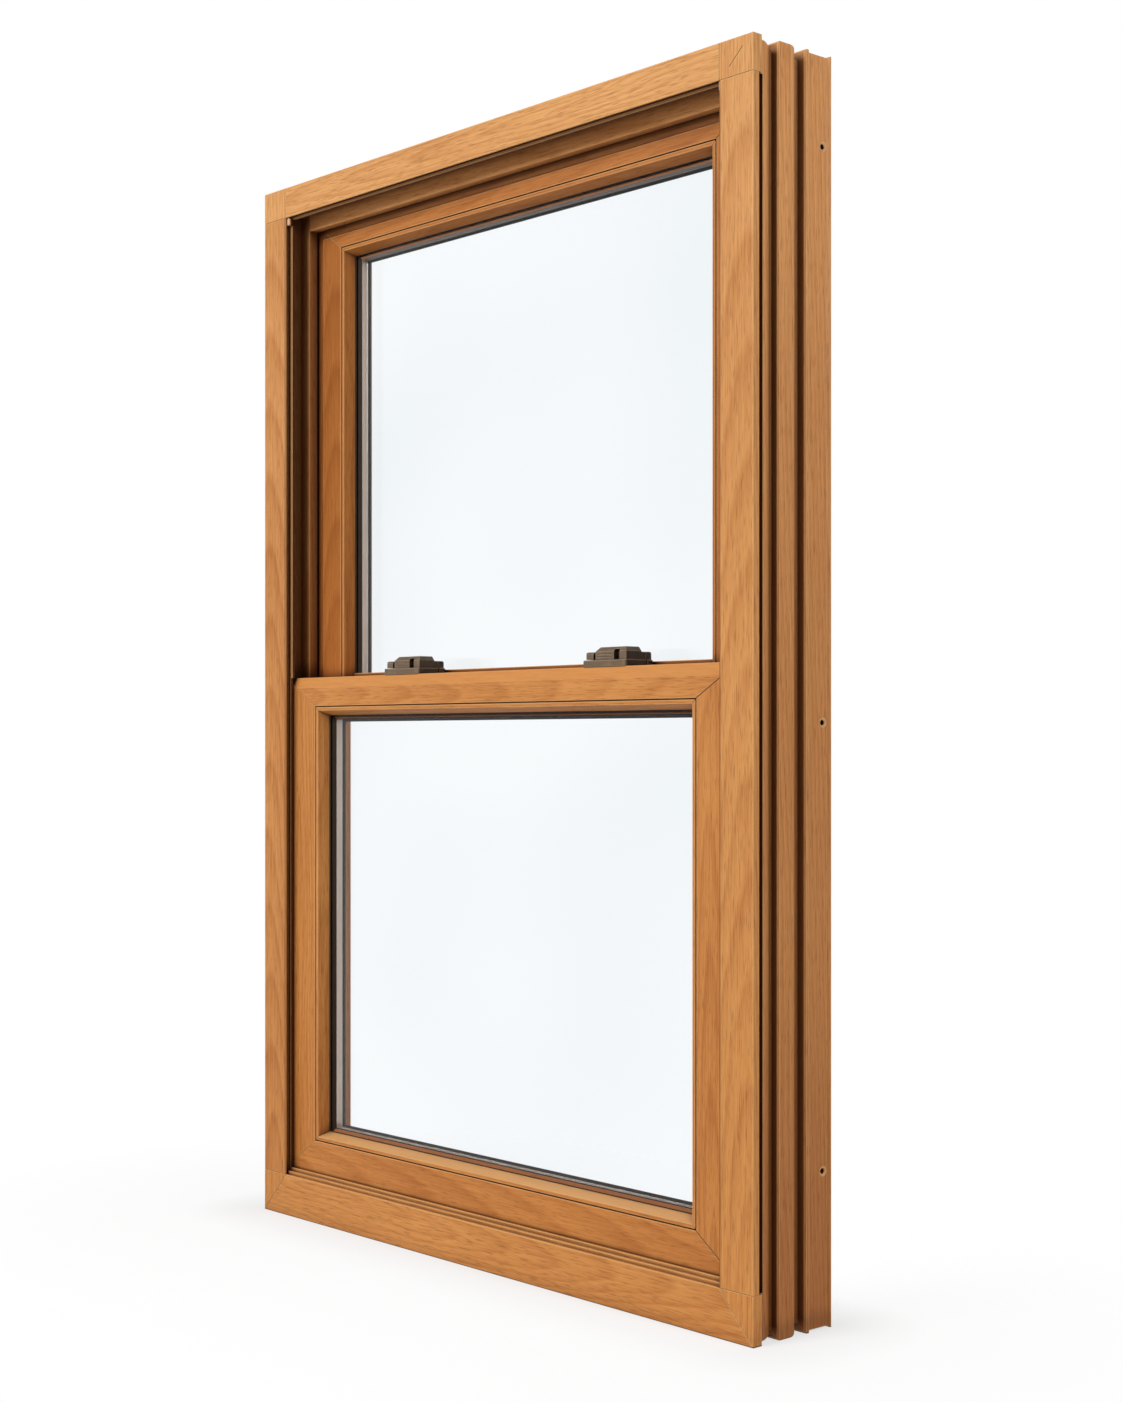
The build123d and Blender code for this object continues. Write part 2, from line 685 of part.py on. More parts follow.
for side, name in ((-1, "left_lock"), (1, "right_lock")):
    x0 = LOCK_SHIFT + side * LOCK_X - LOCK_W / 2

    plate = block(x0, x0 + LOCK_W, LOCK_Y0, LOCK_Y1, LOWER_Z1, HOUSE_Z0)
    plate = fillet(plate.edges().filter_by(Axis.Z), LOCK_CORNER)
    plate = chamfer(top_edges(plate), LOCK_BREAK)
    save(name + "_base", plate)

    left = x0 + HOUSE_LEFT
    right = x0 + LOCK_W - HOUSE_END
    house = block(left, right, HOUSE_Y0, LOCK_Y1, HOUSE_Z0, WALL_Z)
    house = chamfer(top_edges(house), LOCK_BREAK / 2)
    cap_y = HOUSE_Y0 + CAP_D
    cap_z = WALL_Z + CAP_TALL
    cap = block(left, right, HOUSE_Y0, cap_y + 2 * CAP_SLOPE_IN, WALL_Z - LOCK_BREAK, cap_z)
    cap = chamfer(top_edges(cap), CAP_SLOPE, CAP_SLOPE_IN)
    house = house + (cap & block(left, right, HOUSE_Y0, cap_y, HOUSE_Z0, cap_z))
    pocket_x = x0 + POCKET_LEFT
    pocket_y = HOUSE_Y0 + POCKET_DEEP
    pocket_z = HOUSE_Z0 + POCKET_TALL
    house = house - block(pocket_x, pocket_x + POCKET_W, HOUSE_Y0 - 1, pocket_y, HOUSE_Z0, pocket_z)
    for share in (0.35, 0.7):
        rule_z = HOUSE_Z0 + HOUSE_WALL * share
        rule_x = pocket_x - RULE_IN
        rule_y = HOUSE_Y0 + RULE_DEEP
        house = house - block(left + RULE_IN, rule_x, HOUSE_Y0 - 1, rule_y, rule_z, rule_z + RULE_W)
    neck_y = HOUSE_Y0 + LEVER_D / 2
    neck_z = HOUSE_Z0 + LEVER_LIFT
    neck_x = x0 + LEVER_LEFT + LEVER_W
    house = house - block(
        left - 1,
        neck_x + NECK_LONG + NECK_RUN,
        neck_y - NECK_D / 2 - NECK_RUN,
        neck_y + NECK_D / 2 + NECK_RUN,
        HOUSE_Z0,
        neck_z + NECK_D + NECK_RUN,
    )
    mid = (left + right) / 2
    tongue_z = HOUSE_Z0 + TONGUE_LIFT
    tongue_y = KEEPER_Y0 + TONGUE_LAP
    half_tongue = TONGUE_W / 2
    house = house + block(
        mid - half_tongue, mid + half_tongue, LOCK_Y1 - 1, tongue_y, tongue_z, tongue_z + TONGUE_TALL
    )
    save(name + "_housing", house)

    tab = block(
        x0 + LEVER_LEFT, neck_x, HOUSE_Y0, HOUSE_Y0 + LEVER_D, neck_z, neck_z + LEVER_TALL
    )
    tab = chamfer(top_edges(tab), LEVER_D / 7)
    tab = fillet(tab.edges().filter_by(Axis.Z).group_by(Axis.X)[0], LEVER_D / 5)
    neck = block(
        neck_x, neck_x + NECK_LONG, neck_y - NECK_D / 2, neck_y + NECK_D / 2, neck_z, neck_z + NECK_D
    )
    save(name + "_lever", tab + neck)

    flange = block(x0, x0 + LOCK_W, KEEPER_Y0, KEEPER_Y1, LOWER_Z1, HOUSE_Z0)
    flange = fillet(flange.edges().filter_by(Axis.Z).group_by(Axis.Y)[-1], LOCK_CORNER)
    flange = chamfer(top_edges(flange), LOCK_BREAK)
    keeper = block(left, right, KEEPER_Y0, KEEPER_Y1 - KEEPER_STEP, HOUSE_Z0, WALL_Z)
    rear = keeper.edges().filter_by(Axis.X).group_by(Axis.Z)[-1].sort_by(Axis.Y)[-1]
    keeper = flange + fillet(rear, KEEPER_ROUND)
    keeper = keeper - block(
        mid - TONGUE_W / 2 - NECK_RUN,
        mid + TONGUE_W / 2 + NECK_RUN,
        KEEPER_Y0 - 1,
        KEEPER_Y0 + TONGUE_LAP + NECK_RUN,
        tongue_z - NECK_RUN,
        tongue_z + TONGUE_TALL + NECK_RUN,
    )
    save(name + "_keeper", keeper)
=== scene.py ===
"""Dresses the double hung window: stained wood, insulated glass, bronze cam locks."""
import logging
import math
from dataclasses import dataclass, replace
from enum import Enum
from typing import Dict, Optional, Sequence, Tuple

import bpy
import numpy as np
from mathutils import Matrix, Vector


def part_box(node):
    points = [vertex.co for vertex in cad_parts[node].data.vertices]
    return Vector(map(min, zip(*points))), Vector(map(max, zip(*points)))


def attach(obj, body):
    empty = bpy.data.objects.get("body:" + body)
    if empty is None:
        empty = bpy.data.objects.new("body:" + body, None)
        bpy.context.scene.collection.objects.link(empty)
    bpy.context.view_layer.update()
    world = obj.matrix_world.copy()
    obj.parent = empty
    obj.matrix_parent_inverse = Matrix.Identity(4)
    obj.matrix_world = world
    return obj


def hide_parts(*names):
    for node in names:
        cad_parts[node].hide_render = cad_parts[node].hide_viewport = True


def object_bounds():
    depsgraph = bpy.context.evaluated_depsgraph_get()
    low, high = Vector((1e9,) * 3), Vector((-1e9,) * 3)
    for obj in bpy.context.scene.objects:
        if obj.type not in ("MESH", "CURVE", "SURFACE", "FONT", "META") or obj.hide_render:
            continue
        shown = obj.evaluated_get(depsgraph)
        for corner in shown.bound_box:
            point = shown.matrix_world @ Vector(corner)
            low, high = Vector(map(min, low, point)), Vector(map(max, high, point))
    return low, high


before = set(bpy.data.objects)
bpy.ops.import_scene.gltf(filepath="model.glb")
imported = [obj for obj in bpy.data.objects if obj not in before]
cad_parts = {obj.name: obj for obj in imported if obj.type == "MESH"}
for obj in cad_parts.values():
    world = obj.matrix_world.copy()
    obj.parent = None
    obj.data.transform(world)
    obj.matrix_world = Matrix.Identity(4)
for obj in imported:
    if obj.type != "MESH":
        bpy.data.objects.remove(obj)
CAD_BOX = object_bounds()

LOG = logging.getLogger("window")
ROOT = "root"
Colour = Tuple[float, float, float]
# Two ends of a dark line, as x and z: a painted shadow line or a dark joint
DarkLine = Tuple[float, float, float, float]
Stops = Sequence[Tuple[float, float]]
Socket = bpy.types.NodeSocket
Place = Tuple[Socket, Socket, Socket]

# Painted shade: an extra share of the dark tone on some whole pieces
PIECE_SHADE: Dict[str, float] = {"left_face_board": 0.20, "upper_left_stile": 0.18, "right_face_board": 0.04}
# Seeds of the wood's figure
FRAME_SEED = 1
SASH_SEEDS: Dict[str, int] = {"lower": 21, "upper": 31}
RIM_SEED = 51
# What one seed adds to the figure's place along and across the fibres, and where that starts again
ALONG_STEP, ALONG_SPAN = 0.37, 1.9
ACROSS_STEP, ACROSS_SPAN = 0.61, 1.3
# Radians per seed for the log's tilt and for the place of its heart
TILT_TURN, HEART_TURN = 1.7, 2.3
# Screw holes of a jamb: heights, distance from the room side, depth of the screw flat below the box's side
SCREW_HEIGHTS = (0.163, 0.628, 1.225)
SCREW_BACK = 0.108
SCREW_SUNK = 0.002
# Samples for rounded edges and for the search for close faces
EDGE_SAMPLES = 4
NEAR_SAMPLES = 12
# How far the rounded normal turns on an arris
ARRIS_STOPS: Stops = ((0.0, 0.0), (0.005, 0.0), (0.06, 1.0), (1.0, 1.0))
CLAMPED: Stops = ((0.0, 0.0), (1.0, 1.0))
NOISE_MEAN = 0.5
WHITE: Colour = (1.0, 1.0, 1.0)
# Rays that see a surface, beside those that only carry its light
SEEING_RAYS = ("Is Camera Ray", "Is Glossy Ray", "Is Transmission Ray")


def linear(red: int, green: int, blue: int) -> Colour:
    """Turn an 8-bit screen colour into linear light.

    Args:
        red: Red from 0 to 255.
        green: Green from 0 to 255.
        blue: Blue from 0 to 255.

    Returns:
        The colour as three linear numbers.
    """
    screen = np.array([red, green, blue], dtype=float) / 255.0
    low = screen / 12.92
    high = ((screen + 0.055) / 1.055) ** 2.4
    return tuple(float(v) for v in np.where(screen <= 0.04045, low, high))


class Grain(Enum):
    """Which way the fibres of a piece run."""

    UPRIGHT = "upright"
    LEVEL = "level"
    MITRED = "mitred"


class Graph:
    """A short way to write the nodes of a material or of the world."""

    def __init__(self, name: str, world: bool = False) -> None:
        """Start with an empty node tree.

        Args:
            name: Name of the material or world.
            world: Whether it is a world.
        """
        self.owner = (bpy.data.worlds if world else bpy.data.materials).new(name)
        self.owner.use_nodes = True
        self.tree = self.owner.node_tree
        self.tree.nodes.clear()
        self.output = self.add("ShaderNodeOutputWorld" if world else "ShaderNodeOutputMaterial")

    def add(self, kind: str, **settings: object) -> bpy.types.Node:
        """Add a node and set its properties.

        Args:
            kind: Blender's name for the node type.
            settings: Properties of the node.

        Returns:
            The new node.
        """
        node = self.tree.nodes.new(kind)
        for key, value in settings.items():
            setattr(node, key, value)
        return node

    def put(self, socket: Socket, value: object) -> None:
        """Link a socket to another, or set it to a plain value.

        Args:
            socket: The input to feed.
            value: An output socket, a number or a colour.
        """
        if isinstance(value, bpy.types.NodeSocket):
            self.tree.links.new(value, socket)
        elif isinstance(value, tuple) and len(value) == 3 and socket.type == "RGBA":
            socket.default_value = (*value, 1.0)
        else:
            socket.default_value = value

    def math(self, operation: str, first: object, second: object = 0.0, third: object = 0.0) -> Socket:
        """Add a math node.

        Args:
            operation: Blender's name for the operation.
            first: First value.
            second: Second value.
            third: Third value, for operations that take one.

        Returns:
            The result.
        """
        node = self.add("ShaderNodeMath", operation=operation)
        for socket, value in zip(node.inputs, (first, second, third)):
            self.put(socket, value)
        return node.outputs[0]

    def stretch(self, place: Place, scale: Colour) -> Socket:
        """Scale each part of a place by its own factor.

        Args:
            place: The three parts.
            scale: The three factors, per metre.

        Returns:
            The scaled place as one vector.
        """
        node = self.add("ShaderNodeCombineXYZ")
        for socket, part, factor in zip(node.inputs, place, scale):
            self.put(socket, self.math("MULTIPLY", part, factor))
        return node.outputs[0]

    def noise(self, vector: Socket, scale: float, detail: float = 2.0, rough: float = 0.5) -> Socket:
        """Add a noise texture.

        Args:
            vector: Where to read it.
            scale: Its scale.
            detail: Octaves of detail.
            rough: Weight of the finer octaves.

        Returns:
            The noise value, about 0.5 on the mean.
        """
        node = self.add("ShaderNodeTexNoise")
        self.put(node.inputs["Vector"], vector)
        node.inputs["Scale"].default_value = scale
        node.inputs["Detail"].default_value = detail
        node.inputs["Roughness"].default_value = rough
        return node.outputs[0]

    def ramp(self, value: Socket, stops: Stops) -> Socket:
        """Map a value through a grey ramp.

        Args:
            value: The value to map.
            stops: Pairs of position and level.

        Returns:
            The mapped value.
        """
        node = self.add("ShaderNodeValToRGB")
        elements = node.color_ramp.elements
        while len(elements) < len(stops):
            elements.new(0.5)
        for element, (position, level) in zip(elements, stops):
            element.position = position
            element.color = (level, level, level, 1.0)
        self.put(node.inputs[0], value)
        return node.outputs[0]

    def blend(self, share: object, first: object, second: object, mode: str = "MIX") -> Socket:
        """Mix two colours.

        Args:
            share: Share of the second colour.
            first: First colour.
            second: Second colour.
            mode: Blender's name for the blend.

        Returns:
            The mixed colour.
        """
        node = self.add("ShaderNodeMix", data_type="RGBA", blend_type=mode)
        node.clamp_factor = True
        self.put(node.inputs[0], share)
        self.put(node.inputs[6], first)
        self.put(node.inputs[7], second)
        return node.outputs[2]

    def facing(self) -> Place:
        """Read the flat normal of the face.

        Returns:
            Its x, y and z.
        """
        return self.split(self.add("ShaderNodeNewGeometry").outputs["True Normal"])

    def rounded(self, radius: float) -> Socket:
        """Round the edges over in the normal.

        Args:
            radius: Radius of the edges, in metres.

        Returns:
            The normal.
        """
        node = self.add("ShaderNodeBevel", samples=EDGE_SAMPLES)
        node.inputs["Radius"].default_value = radius
        return node.outputs[0]

    def highlight_edge(self, rounded: Socket) -> Socket:
        """Find the arrises, where the rounded normal leaves the flat one.

        Args:
            rounded: Normal with the edges rounded over.

        Returns:
            One on an arris, zero on a flat face.
        """
        flat = self.add("ShaderNodeNewGeometry")
        turn = self.add("ShaderNodeVectorMath", operation="DOT_PRODUCT")
        self.put(turn.inputs[0], rounded)
        self.put(turn.inputs[1], flat.outputs["True Normal"])
        return self.ramp(self.math("SUBTRACT", 1.0, turn.outputs["Value"]), ARRIS_STOPS)

    def openness(self, reach: float) -> Socket:
        """Measure how free a point is of close faces.

        Args:
            reach: How far to look, in metres.

        Returns:
            One in the open, zero in a closed corner.
        """
        node = self.add("ShaderNodeAmbientOcclusion", samples=NEAR_SAMPLES)
        node.inputs["Distance"].default_value = reach
        return node.outputs["AO"]

    def bump(self, height: Socket, strength: float, distance: float,
             over: Optional[Socket] = None) -> Socket:
        """Turn a height into a bumped normal.

        Args:
            height: The height value.
            strength: Strength from 0 to 1.
            distance: Height of the bump in metres.
            over: Normal to start from, or none for the surface's own.

        Returns:
            The normal.
        """
        node = self.add("ShaderNodeBump")
        if over is not None:
            self.put(node.inputs["Normal"], over)
        node.inputs["Strength"].default_value = strength
        node.inputs["Distance"].default_value = distance
        self.put(node.inputs["Height"], height)
        return node.outputs[0]

    def place(self) -> Socket:
        """Read Object coordinates.

        Returns:
            The coordinates, in metres.
        """
        return self.add("ShaderNodeTexCoord").outputs["Object"]

    def split(self, vector: Socket) -> Place:
        """Split a vector into its three parts.

        Args:
            vector: The vector.

        Returns:
            Its x, y and z.
        """
        node = self.add("ShaderNodeSeparateXYZ")
        self.put(node.inputs[0], vector)
        return node.outputs[0], node.outputs[1], node.outputs[2]

    def seen(self) -> Socket:
        """Tell the rays that see a surface from those that only carry its light.

        Returns:
            One for a ray that sees, zero for another.
        """
        path = self.add("ShaderNodeLightPath")
        sight = path.outputs[SEEING_RAYS[0]]
        for ray in SEEING_RAYS[1:]:
            sight = self.math("MAXIMUM", sight, path.outputs[ray])
        return sight

    def principled(self, values: Dict[str, object]) -> bpy.types.Node:
        """Add the main surface shader.

        Args:
            values: What its inputs take, by Blender's names.

        Returns:
            The shader node.
        """
        node = self.add("ShaderNodeBsdfPrincipled")
        for name, value in values.items():
            self.put(node.inputs[name], value)
        return node

    def choose(self, share: Socket, first: bpy.types.Node, second: bpy.types.Node) -> bpy.types.Node:
        """Mix two shaders.

        Args:
            share: Share of the second shader.
            first: First shader.
            second: Second shader.

        Returns:
            The mixing node.
        """
        node = self.add("ShaderNodeMixShader")
        for socket, value in zip(node.inputs, (share, first.outputs[0], second.outputs[0])):
            self.put(socket, value)
        return node

    def surface(self, shader: bpy.types.Node) -> bpy.types.ID:
        """Use a shader as the surface.

        Args:
            shader: The shader node.

        Returns:
            The finished material or world.
        """
        self.tree.links.new(shader.outputs[0], self.output.inputs["Surface"])
        return self.owner


@dataclass(frozen=True)
class StainedWood:
    """Honey-stained softwood with growth rings, fibres, flecks and a satin coat.

    Lengths are in metres. Scales and fades are per metre, and scales run along the fibres, across and deep.
    """

    name: str
    light: Colour = linear(218, 154, 88)
    dark: Colour = linear(164, 92, 34)
    fleck: Colour = linear(122, 64, 22)
    # Painted shade: the dark colour laid into grooves, reveals and corners, also used for the painted shadow
    # lines, the painted contact shadow and the dark joints
    shade_and_joint_colour: Colour = linear(58, 22, 4)
    # Painted highlight colour on the arrises
    arris_highlight: Colour = linear(238, 184, 122)
    # Painted shade and light by height: a darker tint at the floor and a paler one at the head
    low_shade_tint: Colour = (0.95, 0.89, 0.76)
    high_light_tint: Colour = (1.00, 1.10, 1.30)
    plain_tone: float = 0.12
    ring_width: float = 0.0062
    ring_share: float = 0.34
    ring_stops: Stops = ((0.0, 0.12), (0.50, 0.42), (0.82, 1.0), (1.0, 0.12))
    heart_deep: float = 0.035
    heart_play: float = 0.022
    mitred_heart: float = 0.62
    tilt: float = 0.05
    tilt_play: float = 0.02
    bend: float = 0.055
    bend_scale: Colour = (2.4, 13.0, 13.0)
    fibre_share: float = 0.92
    fibre_scale: Colour = (9.0, 420.0, 420.0)
    fibre_rough: float = 0.6
    fleck_share: float = 0.40
    fleck_scale: Colour = (52.0, 760.0, 760.0)
    fleck_stops: Stops = ((0.0, 0.0), (0.54, 0.0), (0.70, 1.0), (1.0, 1.0))
    cloud_share: float = 0.6
    cloud_scale: Colour = (3.0, 9.0, 1.0)
    # Painted shade in recesses: how far to look for close faces, and how much shade each openness takes
    shade_reach: float = 0.020
    shade_stops: Stops = ((0.0, 0.97), (0.48, 0.90), (0.62, 0.45), (0.86, 0.0))
    # The painted recess shade fades out toward the floor
    floor_fade: float = 70.0
    # Painted contact shadow: a dark band in the lowest millimetres, where the piece meets the floor
    contact_shade_fade: float = 400.0
    contact_shade_stops: Stops = ((0.0, 0.8), (0.40, 0.7), (0.75, 0.0), (1.0, 0.0))
    # Dark lines: painted shadow lines along the face boards' inner arrises, and dark joints in the sash
    # mitres
    dark_line_fade: float = 1000.0
    dark_line_stops: Stops = ((0.0, 0.85), (0.40, 0.75), (0.90, 0.0), (1.0, 0.0))
    dark_line_slack: float = 0.001
    edge_round: float = 0.0009
    arris_highlight_share: float = 0.75
    # Painted light on faces that look up, and how much of it the beads' upper slopes take
    top_light_gain: float = 2.4
    bead_top_light: float = 0.65
    rough: float = 0.48
    rough_play: float = 0.16
    gloss: float = 0.22
    fibre_height: float = 0.6
    fleck_height: float = -0.5
    relief: float = 0.22
    relief_height: float = 0.0004

    def material(self, grain: Grain, seed: int, centre: Colour = (0.0, 0.0, 0.0),
                 half: Tuple[float, float] = (1.0, 1.0), dark_lines: Sequence[DarkLine] = (),
                 piece_shade: float = 0.0) -> bpy.types.Material:
        """Make the wood for one piece.

        Painted light and shade by height: the colour is darker toward the floor and paler toward the head.
        Faces that look up are painted paler, arrises take a painted highlight, and the beads' upper slopes
        take most of that highlight colour.

        Args:
            grain: Which way the fibres run.
            seed: Number that moves the figure, so that no two pieces match.
            centre: Centre of the piece, or of a mitred ring of pieces.
            half: Half width and half height of that ring.
            dark_lines: Dark joints, and painted shadow lines along arrises, that take the dark colour.
            piece_shade: Share of painted shade that darkens this whole piece.

        Returns:
            The material.
        """
        g = Graph(f"{self.name}_{seed}")
        place = g.split(g.place())
        along, across = self.directions(g, grain, place, centre, half)
        heart = self.heart(grain, seed, centre)
        tone, fibre, fleck = self.figure(g, (along, across, place[1]), seed, heart, self.plain_tone + piece_shade)
        colour = g.blend(tone, self.light, self.dark)
        colour = g.blend(g.math("MULTIPLY", fleck, self.fleck_share), colour, self.fleck)
        # Painted shade toward the floor and painted light toward the head
        tint = g.blend(g.math("DIVIDE", place[2], CAD_BOX[1][2]), self.low_shade_tint, self.high_light_tint)
        colour = g.blend(1.0, colour, tint, "MULTIPLY")
        # Painted light: faces that look up are paler, and the beads' upper slopes take the highlight colour
        top_light = g.math("MULTIPLY", g.math("MAXIMUM", g.facing()[2], 0.0), self.top_light_gain)
        top_light_most, top_light_colour = (self.bead_top_light, self.arris_highlight) if grain is Grain.MITRED else (1.0, self.light)
        colour = g.blend(g.math("MINIMUM", top_light, top_light_most), colour, top_light_colour)
        rounded = g.rounded(self.edge_round)
        # Painted highlight along the arrises
        colour = g.blend(g.math("MULTIPLY", g.highlight_edge(rounded), self.arris_highlight_share), colour, self.arris_highlight)
        # Lay in the dark colour: painted shade, painted shadow lines and dark joints
        colour = g.blend(self.shade_and_joint_share(g, place, dark_lines), colour, self.shade_and_joint_colour)
        height = g.math("ADD", g.math("MULTIPLY", fibre, self.fibre_height),
                        g.math("MULTIPLY", fleck, self.fleck_height))
        return g.surface(g.principled({
            "Base Color": colour,
            "Roughness": g.math("MULTIPLY_ADD", fibre, self.rough_play, self.rough - self.rough_play / 2),
            "Specular IOR Level": self.gloss,
            "Normal": g.bump(height, self.relief, self.relief_height, rounded),
        }))

    def figure(self, g: Graph, lay: Place, seed: int, heart: float, plain: float) -> Place:
        """Lay out the figure of one piece.

        The rings are the distance from a log's slightly tilted axis, bent by slow noise and cut into
        years, so a flat-sawn face shows long arches. Fibres and flecks are noise stretched along the grain.

        Args:
            g: The material's nodes.
            lay: The coordinates along the fibres, across them and in depth.
            seed: Number that moves the figure.
            heart: Place of the log's heart across the fibres.
            plain: Tone where the wood has no ring.

        Returns:
            The tone from light to dark, the fibres and the flecks.
        """
        aside = ACROSS_STEP * seed % ACROSS_SPAN
        along = g.math("ADD", lay[0], ALONG_STEP * seed % ALONG_SPAN)
        across = g.math("ADD", lay[1], aside)
        place = (along, across, lay[2])
        slow = g.math("SUBTRACT", g.noise(g.stretch(place, self.bend_scale), 1.0, 2.0), NOISE_MEAN)
        wide = g.math("MULTIPLY_ADD", slow, self.bend, g.math("SUBTRACT", across, aside + heart))
        tilt = self.tilt + self.tilt_play * math.sin(seed * TILT_TURN)
        deep = g.math("ADD", g.math("MULTIPLY_ADD", along, tilt, self.heart_deep), lay[2])
        square = g.math("ADD", g.math("MULTIPLY", wide, wide), g.math("MULTIPLY", deep, deep))
        year = g.math("FRACT", g.math("DIVIDE", g.math("SQRT", square), self.ring_width))
        ring = g.ramp(year, self.ring_stops)
        fibre = g.noise(g.stretch(place, self.fibre_scale), 1.0, 3.0, self.fibre_rough)
        fleck = g.ramp(g.noise(g.stretch(place, self.fleck_scale), 1.0, 1.0), self.fleck_stops)
        cloud = g.noise(g.stretch(place, self.cloud_scale), 1.0, 2.0)
        tone = g.math("MULTIPLY_ADD", ring, self.ring_share, plain)
        for spread, share in ((fibre, self.fibre_share), (cloud, self.cloud_share)):
            tone = g.math("MULTIPLY_ADD", g.math("SUBTRACT", spread, NOISE_MEAN), share, tone)
        return tone, fibre, fleck

    def shade_and_joint_share(self, g: Graph, place: Place, dark_lines: Sequence[DarkLine]) -> Socket:
        """Find the share of the dark colour: painted shade, painted shadow lines and dark joints.

        Painted shade darkens wherever other faces stand close by, so grooves and reveals turn dark. Near the
        floor it fades out and only the lowest millimetres turn dark, as a painted contact shadow. The dark
        colour also runs
        along the dark lines: painted shadow lines and dark joints.

        Args:
            g: The material's nodes.
            place: The three coordinates.
            dark_lines: The two ends of each line, as x and z.

        Returns:
            The share.
        """
        # Painted shade wherever other faces stand close by, faded out near the floor
        recess_shade = g.ramp(g.openness(self.shade_reach), self.shade_stops)
        recess_shade = g.math("MULTIPLY", recess_shade, g.ramp(g.math("MULTIPLY", place[2], self.floor_fade), CLAMPED))
        # Painted contact shadow along the foot
        foot = g.ramp(g.math("MULTIPLY", place[2], self.contact_shade_fade), self.contact_shade_stops)
        line = g.math("MAXIMUM", self.joint_and_shadow_line(g, place, dark_lines), foot)
        return g.math("MAXIMUM", recess_shade, line)

    def joint_and_shadow_line(self, g: Graph, place: Place, dark_lines: Sequence[DarkLine]) -> Socket:
        """Mark the dark lines: dark joints, and painted shadow lines along arrises, up to each line's end
        nearest the left.

        Args:
            g: The material's nodes.
            place: The three coordinates.
            dark_lines: The two ends of each line, as x and z.

        Returns:
            Share of the dark colour, zero away from every line.
        """
        near = g.math("ADD", 1.0, 0.0)
        for outer_x, outer_z, inner_x, inner_z in dark_lines:
            long = math.hypot(inner_x - outer_x, inner_z - outer_z)
            run, rise = (inner_x - outer_x) / long, (inner_z - outer_z) / long
            off = g.math("MULTIPLY", g.math("SUBTRACT", place[0], outer_x), rise)
            off = g.math("MULTIPLY_ADD", g.math("SUBTRACT", place[2], outer_z), -run, off)
            past = g.math("LESS_THAN", place[0], min(outer_x, inner_x) - self.dark_line_slack)
            near = g.math("MINIMUM", near, g.math("ADD", g.math("ABSOLUTE", off), past))
        return g.ramp(g.math("MULTIPLY", near, self.dark_line_fade), self.dark_line_stops)

    def heart(self, grain: Grain, seed: int, centre: Colour) -> float:
        """Place the log's heart across a piece: behind its middle, or far off for a mitred ring.

        Args:
            grain: Which way the fibres run.
            seed: Number of the figure.
            centre: Centre of the piece.

        Returns:
            The heart's coordinate across the fibres, in metres.
        """
        if grain is Grain.MITRED:
            return self.mitred_heart
        across = centre[0] if grain is Grain.UPRIGHT else centre[2]
        return across + self.heart_play * math.sin(seed * HEART_TURN)

    @staticmethod
    def directions(g: Graph, grain: Grain, place: Place, centre: Colour,
                   half: Tuple[float, float]) -> Tuple[Socket, Socket]:
        """Choose the along and across coordinates.

        A mitred ring is upright wherever a point is nearer to the ring's side than to its top or bottom.

        Args:
            g: The material's nodes.
            grain: Which way the fibres run.
            place: The three coordinates.
            centre: Centre of a mitred ring.
            half: Half width and half height of the ring.

        Returns:
            The coordinate along the fibres and the one across them.
        """
        x, _, z = place
        if grain is Grain.UPRIGHT:
            return z, x
        if grain is Grain.LEVEL:
            return x, z
        side = g.math("SUBTRACT", half[0], g.math("ABSOLUTE", x))
        end = g.math("SUBTRACT", half[1], g.math("ABSOLUTE", g.math("SUBTRACT", z, centre[2])))
        upright = g.math("LESS_THAN", side, end)
        level = g.math("SUBTRACT", 1.0, upright)
        along = g.math("ADD", g.math("MULTIPLY", z, upright), g.math("MULTIPLY", x, level))
        across = g.math("ADD", g.math("MULTIPLY", x, upright), g.math("MULTIPLY", z, level))
        return along, across


